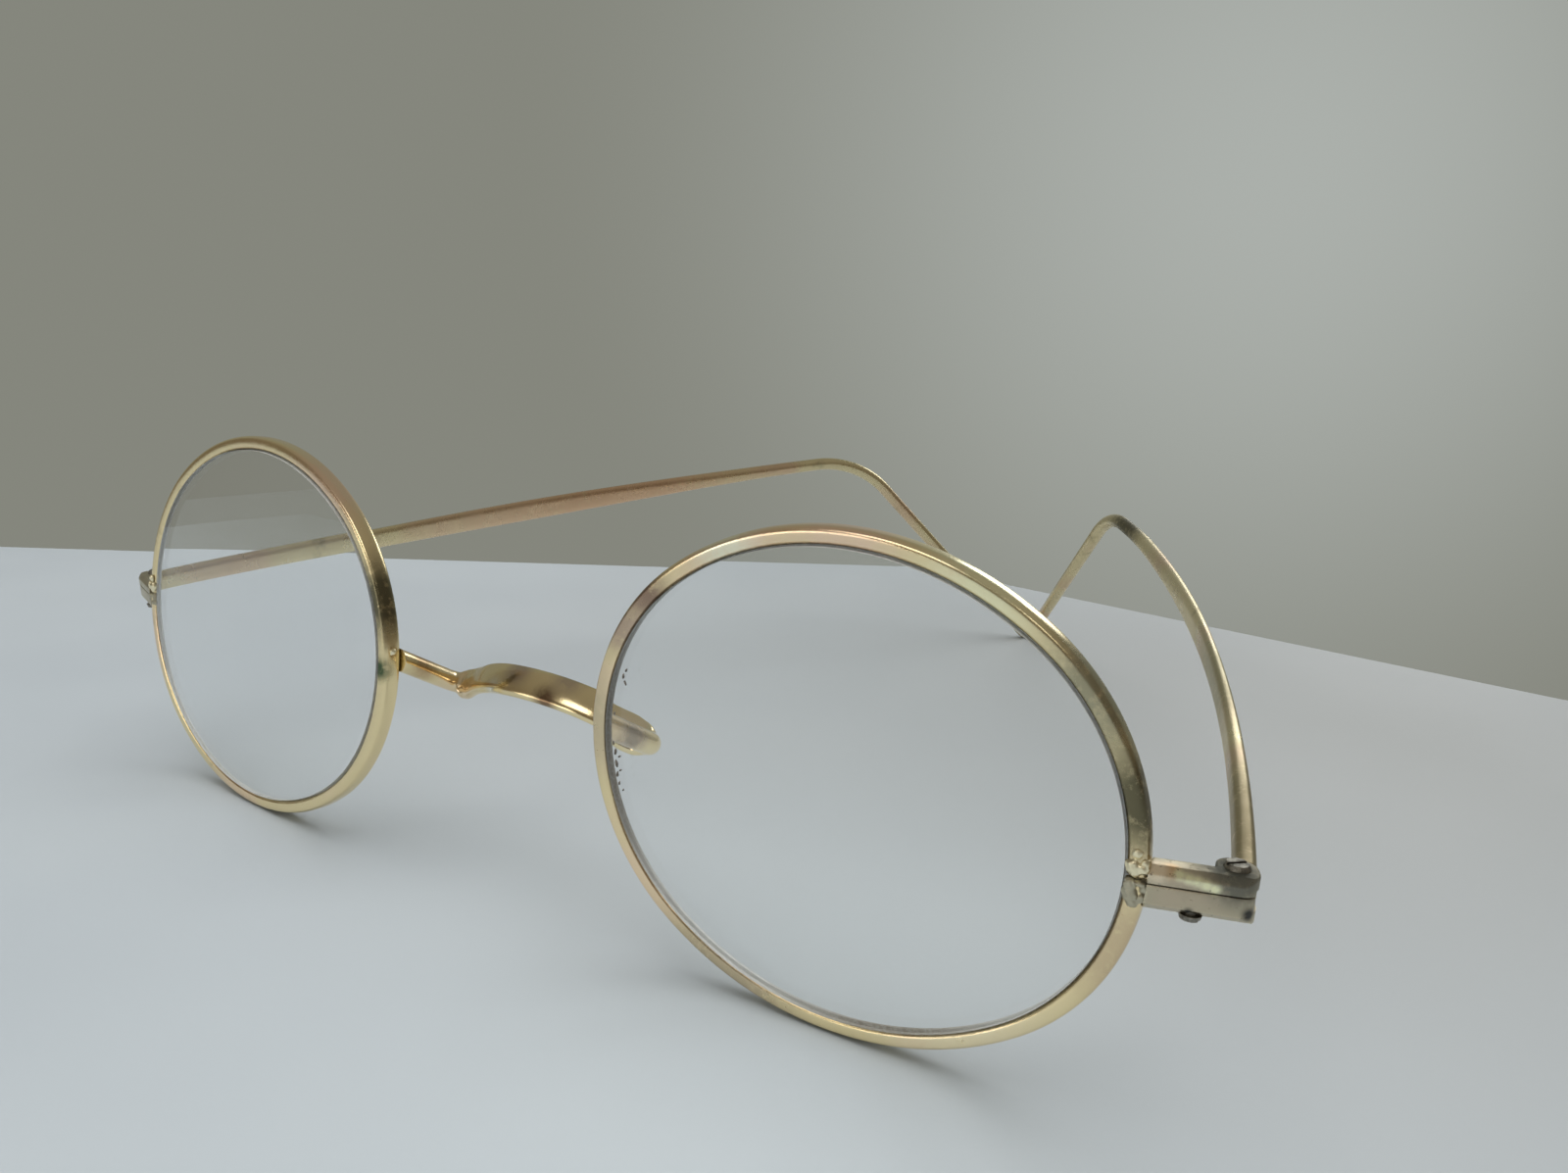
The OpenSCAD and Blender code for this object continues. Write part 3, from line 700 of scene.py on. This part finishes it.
rim_gold = gold(
    "wire_gold", YELLOW, PINK, olive=(0.34, 0.30, 0.17),
    share=0.02, polish=0.11, dull=0.24, dirt=0.7, marks=[
        mark(750, 553, ["left_rim"], 6.0, PINK),
        # A painted highlight at the top left of the left rim
        mark(738, 556, ["left_rim"], 3.8, (1.0, 0.93, 0.70)),
        # A painted highlight on the upper right of the left rim
        mark(1010, 592, ["left_rim"], 6.0, (1.0, 0.93, 0.60)),
        mark(1128, 700, ["left_rim"], 6.5, (0.42, 0.38, 0.25), 0.06),
        mark(745, 978, ["left_rim"], 9.0, (0.62, 0.51, 0.34), 0.04),
        mark(1142, 972, ["left_rim"], 6.0, (0.74, 0.58, 0.36), 0.04),
        # A painted reflection of the bright table along the bottom of the left rim
        mark(985, 1062, ["left_rim"], 9.0, (1.0, 0.85, 0.56)),
        mark(860, 543, ["left_rim"], 6.0, PINK),
        mark(656, 606, ["left_rim"], 3.4, BROWN, 0.05),
        mark(638, 642, ["left_rim"], 3.6, (0.58, 0.44, 0.32), 0.04),
        mark(615, 738, ["left_rim"], 6.0, (0.74, 0.61, 0.40), 0.03),
        mark(335, 490, ["right_rim"], 8.0, PINK),
        mark(1171, 815, ["left_rim"], 5.5, TARNISH, 0.12),
        mark(394, 610, ["right_rim"], 5.5, TARNISH, 0.10),
        mark(387, 683, ["right_rim", "bridge"], 1.6, GREEN, 0.4),
    ],
)
bridge_gold = gold(
    "bridge_gold", YELLOW, (0.92, 0.72, 0.50), olive=(0.45, 0.36, 0.20),
    share=0.0, polish=0.08, dull=0.18, dirt=0.4, marks=[
        mark(556, 714, ["bridge"], 1.9, (0.26, 0.17, 0.10), 0.04),
        # A painted highlight on the far part of the saddle band
        mark(503, 703, ["bridge"], 1.5, (1.0, 0.94, 0.76)),
        mark(655, 748, ["bridge"], 2.6, (0.46, 0.37, 0.27), 0.2),
        mark(530, 684, ["bridge"], 2.4, (0.62, 0.49, 0.36)),
        mark(582, 694, ["bridge"], 2.4, (0.66, 0.54, 0.38)),
        mark(434, 676, ["bridge"], 2.6, (0.54, 0.38, 0.21), 0.05),
        mark(394, 678, ["bridge", "right_rim"], 1.0, GREEN, 0.4),
    ],
)
bar_gold = gold(
    "bar_gold", (0.80, 0.69, 0.42), (0.74, 0.52, 0.36), olive=(0.36, 0.31, 0.17),
    share=0.05, polish=0.20, dull=0.36, dirt=0.7, marks=[
        # Painted dark reflection: the left bar darker near its hinge, in two patches
        mark(1262, 835, ["left_temple"], 16.0, (0.40, 0.33, 0.19), 0.08),
        mark(1243, 685, ["left_temple"], 18.0, (0.48, 0.42, 0.25), 0.05),
        mark(1148, 537, ["left_temple"], 9.0, TARNISH, 0.1),
        mark(520, 526, ["right_temple"], 14.0, (0.80, 0.60, 0.40)),
        mark(640, 510, ["right_temple"], 30.0, (0.78, 0.53, 0.34)),
    ],
)
# A painted highlight: a thin pale line along the upper bevel of the left end piece
painted_highlight_line = [
    mark(px, py, LEFT_END, 0.55, PAINTED_HIGHLIGHT)
    for px, py in ((1204, 893), (1213, 897), (1222, 900), (1231, 904), (1240, 908))
]
lug_gold = gold(
    "end_piece_gold", (0.56, 0.50, 0.36), (0.66, 0.50, 0.38), olive=(0.30, 0.28, 0.20),
    share=0.12, polish=0.24, dull=0.42, dirt=0.35, pits=0.06, marks=[
        mark(1194, 887, LEFT_END, 0.9, (0.74, 0.50, 0.27)),
        mark(1181, 888, LEFT_END, 1.1, (1.0, 0.84, 0.62)),
        mark(1264, 903, ["left_upper_lug"], 2.2, (0.28, 0.26, 0.20), 0.1),
        mark(1258, 882, ["left_upper_lug", "left_hinge_screw"], 3.2, (0.20, 0.20, 0.17), 0.30),
        *painted_highlight_line,
        mark(1274, 934, ["left_lower_lug"], 0.7, SOOT, 0.3),
        mark(1212, 930, ["left_lower_lug"], 0.45, SOOT, 0.3),
    ],
    round_off=0.26, swell_depth=0.12,
)
solder_gold = gold(
    "solder", (0.93, 0.84, 0.58), (0.93, 0.82, 0.58), olive=(0.62, 0.55, 0.34),
    share=0.0, polish=0.24, dull=0.40, dirt=0.3, round_off=0.02,
)
grey_solder = gold(
    "grey_solder", (0.52, 0.48, 0.36), (0.54, 0.48, 0.36), olive=(0.38, 0.35, 0.26),
    share=0.10, polish=0.36, dull=0.52, dirt=0.5, round_off=0.02,
)

# Screws: dull turned metal, dark in the slot

screw = Finish("old_screw")
round_normal, worn = screw.edge(0.06)
patch = screw.noise(0.5, 5.0, 0.7)
colour = screw.blend(screw.span(patch, 0.35, 0.7), (0.34, 0.32, 0.27), (0.15, 0.14, 0.12))
colour = screw.blend(screw.times(worn, 0.5), colour, (0.62, 0.56, 0.42))
grime = screw.times(screw.span(screw.crevice(0.35), 0.2, 0.8), 0.75)
screw.feed("Base Color", screw.blend(grime, colour, (0.035, 0.030, 0.022)))
screw.feed("Metallic", 1.0)
screw.feed("Roughness", screw.span(patch, 0.3, 0.8, 0.34, 0.62))
screw.feed("Normal", screw.bump(screw.noise(0.12, 4.0, 0.7), 0.014, round_normal))

# Dirt: dry brown crumbs beside the groove

grit = Finish("dry_dirt")
crumb = grit.noise(0.15, 4.0, 0.7)
brown = grit.blend(grit.span(crumb, 0.3, 0.7), (0.10, 0.085, 0.07), (0.28, 0.25, 0.21))
grit.feed("Base Color", brown)
grit.feed("Roughness", 0.9)
grit.feed("Normal", grit.bump(crumb, 0.03))


def through_shadow(m, tint):
    """Light passes straight through the glass towards the table."""
    clear = m.add("ShaderNodeBsdfTransparent")
    m.put(clear.inputs["Color"], tint)
    shadow = m.add("ShaderNodeLightPath").outputs["Is Shadow Ray"]
    m.either(shadow, m.shader.outputs["BSDF"], clear.outputs[0])


# Lens: clear glass with faint smears and a little dust

clear_glass = Finish("lens_glass")
smear = clear_glass.noise(6.0, 4.0, 0.6, stretch=(1.0, 1.0, 2.5))
dust = clear_glass.span(clear_glass.noise(0.20, 2.0, shift=(3, 3, 3)), 0.84, 0.90)
film = clear_glass.span(smear, 0.55, 0.95, to_high=0.02)
film = clear_glass.plus(clear_glass.times(dust, 0.4), film, clamp=True)
clear_glass.feed("Base Color", (0.955, 0.965, 0.965))
clear_glass.feed("Roughness", clear_glass.span(smear, 0.5, 0.9, to_high=0.03))
clear_glass.feed("IOR", 1.5)
clear_glass.feed("Transmission Weight", clear_glass.minus(1.0, film, clamp=True))
through_shadow(clear_glass, (0.93, 0.94, 0.94))

# Its edge: ground grey and frosted, dirty where it meets the groove, with a painted groove shadow
# along its bottom

ground_glass = Finish("ground_edge")
speck = ground_glass.noise(0.25, 4.0, 0.7)
# Dirt at the left side of the left lens, and a painted groove shadow along its bottom
dirt_and_groove_shadow = ground_glass.plus(
    ground_glass.near(surface_mm(625, 770, "left_lens", "left_rim"), 16.0),
    ground_glass.near(surface_mm(900, 1040, "left_lens", "left_rim"), 14.0),
    clamp=True,
)
soil_and_groove_shadow = ground_glass.times(
    ground_glass.plus(0.10, dirt_and_groove_shadow, clamp=True),
    ground_glass.span(speck, 0.20, 0.60, 0.55, 1.0),
)
frost = ground_glass.blend(
    ground_glass.span(speck, 0.3, 0.7), (0.58, 0.60, 0.58), (0.78, 0.79, 0.77),
)
clearness = ground_glass.times(ground_glass.minus(1.0, soil_and_groove_shadow), 0.25)
ground_glass.feed("Base Color", ground_glass.blend(soil_and_groove_shadow, frost, (0.26, 0.235, 0.19)))
ground_glass.feed("Roughness", ground_glass.span(speck, 0.3, 0.7, 0.45, 0.65))
ground_glass.feed("Transmission Weight", clearness)
ground_glass.feed("Normal", ground_glass.bump(speck, 0.01))
through_shadow(ground_glass, (0.75, 0.75, 0.74))

FINISHES = {
    "gold_wire": rim_gold,
    "lug_gold": lug_gold,
    "screw_metal": screw,
    "lens_glass": clear_glass,
}
for part in frame["record"]["subparts"]:
    for held in frame["nodes"][part["node"]].material_slots:
        held.material = FINISHES[part["material_slot"]].material

bridge_piece()
for side, word in ((1, "left"), (-1, "right")):
    rim_piece(side, word + "_rim_wire")
    lens_piece(side, word + "_lens_clear")
    temple_piece(side, word + "_temple_bar", word + "_arm")

# Solder where the end pieces meet the rims: a pixel, a width and a height in millimetres each.
# The right side's is the left one's mirrored, and flatter.

SOLDER = {
    "end_solder": (solder_gold, (
        (1161, 871, 0.36, 0.26),
        (1156, 884, 0.48, 0.32),
        (1166, 887, 0.40, 0.26),
        (1158, 890, 0.36, 0.26),
        (1170, 882, 0.30, 0.24),
    )),
    "low_solder": (grey_solder, (
        (1153, 902, 0.44, 0.28),
        (1153, 912, 0.54, 0.32),
        (1155, 920, 0.40, 0.24),
        (1163, 900, 0.36, 0.24),
        (1168, 907, 0.36, 0.30),
        (1166, 917, 0.36, 0.26),
    )),
}
FLATTER = 0.8


def mirrored_bead(at, normal, wide, high, way):
    flip = Vector((-1, 1, 1))
    return at * flip, normal * flip, wide, FLATTER * high, way


for joint, (finish, places) in SOLDER.items():
    spots = [(*surface(px, py, *LEFT_END), wide, high, None) for px, py, wide, high in places]
    beads("left_" + joint, spots, finish, melted=True)
    beads("right_" + joint, [mirrored_bead(*bead) for bead in spots], finish, melted=True)
at, normal = surface(401, 665, "right_rim", "bridge")
beads("bridge_solder", [(at, normal, 0.34, 0.34, None)], solder_gold)

# Crumbs of dirt on the left lens beside its groove: a pixel, a width in millimetres and the way
# that the crumb is long

CRUMB_HIGH = 0.10
crumbs = []
for px, py, wide, way in (
    (639, 684, 0.08, (1, 0, 1.5)),
    (636, 690, 0.10, (0.2, 0, 1)),
    (638, 697, 0.09, (-0.6, 0, 1)),
    (627, 728, 0.06, (0, 0, 1)),
    (626, 758, 0.08, (0, 0, 1)),
    (628, 767, 0.12, (0.2, 0, 1)),
    (632, 772, 0.07, (1, 0, 0.6)),
    (629, 779, 0.14, (-0.1, 0, 1)),
    (633, 786, 0.07, (1, 0, 0.8)),
    (630, 790, 0.11, (0.15, 0, 1)),
    (632, 799, 0.08, (0.1, 0, 1)),
    (636, 806, 0.05, (0.2, 0, 1)),
):
    at, normal = surface(px, py, "left_lens")
    crumbs.append((at, normal, wide, CRUMB_HIGH, Vector(way)))
beads("left_lens_dirt", crumbs, grit)

# Stage: a pale table with its far corner, and a grey wall

table = Finish("table_top")
cloud = table.noise(60.0, 3.0, 0.55)
grain = table.span(cloud, 0.3, 0.7)
tint = table.blend(grain, (0.470, 0.515, 0.545), (0.500, 0.545, 0.570))
# Painted light on the table: a painted shade over its far right and a painted pool of light at its
# front left
for px, py, reach, share, tone in (
    (1420, 740, 190.0, 0.75, (0.330, 0.335, 0.320)),
    (640, 1160, 70.0, 0.45, (0.60, 0.66, 0.69)),
):
    place = tuple(on_table(px, py) / MM)
    tint = table.blend(table.times(table.near(place, reach), share), tint, tone)
table.feed("Base Color", tint)
table.feed("Roughness", table.span(cloud, 0.3, 0.7, 0.50, 0.60))
table.feed("Normal", table.bump(table.noise(0.7, 3.0, 0.6), 0.010))

# The wall is brightest to the upper right, a painted pool of light. It shows these tones to the
# camera, to metal and through glass. For the table it is a matt surface.

WALL_AWAY = 2.2
GLOW_RIGHT, GLOW_UP, GLOW_REACH = 0.43, 0.38, 1500.0
wall = Finish("wall")
bright = spot + (FORWARD + RIGHT * GLOW_RIGHT - DOWN * GLOW_UP) * WALL_AWAY
glow = wall.near(tuple(bright / MM), GLOW_REACH)
shade = wall.blend(glow, (0.235, 0.240, 0.205), (0.415, 0.440, 0.415))
wall.feed("Base Color", shade)
wall.feed("Roughness", 0.9)
plain_wall = wall.add("ShaderNodeEmission")
wall.join(shade, plain_wall.inputs["Color"])
ray_kind = wall.add("ShaderNodeLightPath").outputs
shown = wall.maths("MAXIMUM", ray_kind["Is Camera Ray"], ray_kind["Is Glossy Ray"])
shown = wall.maths("MAXIMUM", shown, ray_kind["Is Transmission Ray"])
wall.either(shown, wall.shader.outputs["BSDF"], plain_wall.outputs[0])


def sheet(name, corners, finish):
    mesh = bpy.data.meshes.new(name)
    mesh.from_pydata([tuple(c) for c in corners], [], [tuple(range(len(corners)))])
    mesh.materials.append(finish.material)
    obj = linked(name, mesh)


TABLE_REACH, TABLE_FRONT = 1.6, Vector((0, -2.5, 0))
corner = on_table(985, 588)
far_left = corner + (on_table(0, 558) - corner).normalized() * TABLE_REACH
far_right = corner + (on_table(1600, 715) - corner).normalized() * TABLE_REACH
near_left = far_left + TABLE_FRONT
near_right = far_right + TABLE_FRONT + Vector((0.3, 0, 0))
sheet("table", [corner, far_left, near_left, near_right, far_right], table)

WALL_HALF, WALL_LOW, WALL_HIGH = 5, Vector((0, 0, -2)), Vector((0, 0, 4))
behind = spot + FORWARD * WALL_AWAY
across = Vector((RIGHT.x, RIGHT.y, 0)).normalized()
sheet("wall", [
    behind - across * WALL_HALF + WALL_LOW,
    behind + across * WALL_HALF + WALL_LOW,
    behind + across * WALL_HALF + WALL_HIGH,
    behind - across * WALL_HALF + WALL_HIGH,
], wall)

# Light: four soft windows that the metal mirrors, and a wide sheet above that it doesn't


def lamp(name, at, aim, wide, high, watts, colour):
    data = bpy.data.lights.new(name, "AREA")
    data.shape = "RECTANGLE"
    data.size = wide
    data.size_y = high
    data.energy = watts
    data.color = colour
    obj = linked(name, data)
    obj.location = at
    obj.rotation_euler = (Vector(aim) - Vector(at)).to_track_quat("-Z", "Y").to_euler()
    return obj


MIDST = (0, 0, 0)
lamp("back_window", (0.05, 0.95, 0.47), MIDST, 0.36, 0.26, 0.85, (0.98, 0.99, 1.0))
lamp("low_window", (-0.56, -0.98, 0.08), (0, 0, 0.02), 0.60, 0.14, 0.65, (1.0, 0.98, 0.93))
lamp("front_window", (-0.18, -0.92, 0.57), MIDST, 0.42, 0.28, 0.80, (1.0, 0.99, 0.95))
lamp("small_window", (0.45, -0.89, 0.57), MIDST, 0.20, 0.14, 0.20, (1.0, 0.98, 0.92))
ceiling = lamp("ceiling", (0.1, -0.1, 1.1), MIDST, 1.1, 1.1, 9.6, (1.0, 0.99, 0.97))
ceiling.visible_glossy = False

# The room: pale overhead for the light that falls on the table, dim and brown as metal and glass
# mirror it, and plain grey behind everything

world = bpy.data.worlds.new("room")
world.use_nodes = True
bpy.context.scene.world = world
nodes, links = world.node_tree.nodes, world.node_tree.links
nodes.clear()
out = nodes.new("ShaderNodeOutputWorld")
way = nodes.new("ShaderNodeTexCoord")
parts = nodes.new("ShaderNodeSeparateXYZ")
links.new(way.outputs["Generated"], parts.inputs[0])


def sky(low, high, start, end):
    """A background that turns from low to high as the way's Z goes from start to end."""
    height = nodes.new("ShaderNodeMapRange")
    height.interpolation_type = "SMOOTHSTEP"
    links.new(parts.outputs["Z"], height.inputs["Value"])
    height.inputs["From Min"].default_value = start
    height.inputs["From Max"].default_value = end
    ramp = nodes.new("ShaderNodeMix")
    ramp.data_type = "RGBA"
    links.new(height.outputs["Result"], ramp.inputs["Factor"])
    ramp.inputs[MIX_A].default_value = (*low, 1.0)
    ramp.inputs[MIX_B].default_value = (*high, 1.0)
    back = nodes.new("ShaderNodeBackground")
    links.new(ramp.outputs[MIX_RESULT], back.inputs["Color"])
    return back


def choose(share, first, second):
    node = nodes.new("ShaderNodeMixShader")
    links.new(share, node.inputs[0])
    links.new(first.outputs[0], node.inputs[1])
    links.new(second.outputs[0], node.inputs[2])
    return node


GREY = (0.40, 0.42, 0.41)
seen_by = nodes.new("ShaderNodeLightPath").outputs
falling = sky((0.14, 0.125, 0.10), (0.66, 0.69, 0.73), 0.40, 0.95)
mirrored = sky((0.15, 0.13, 0.10), (0.245, 0.23, 0.195), 0.1, 0.95)
room = choose(seen_by["Is Glossy Ray"], falling, mirrored)
room = choose(seen_by["Is Camera Ray"], room, sky(GREY, GREY, 0.0, 1.0))
links.new(room.outputs[0], out.inputs["Surface"])

bpy.context.scene.view_settings.view_transform = "Standard"
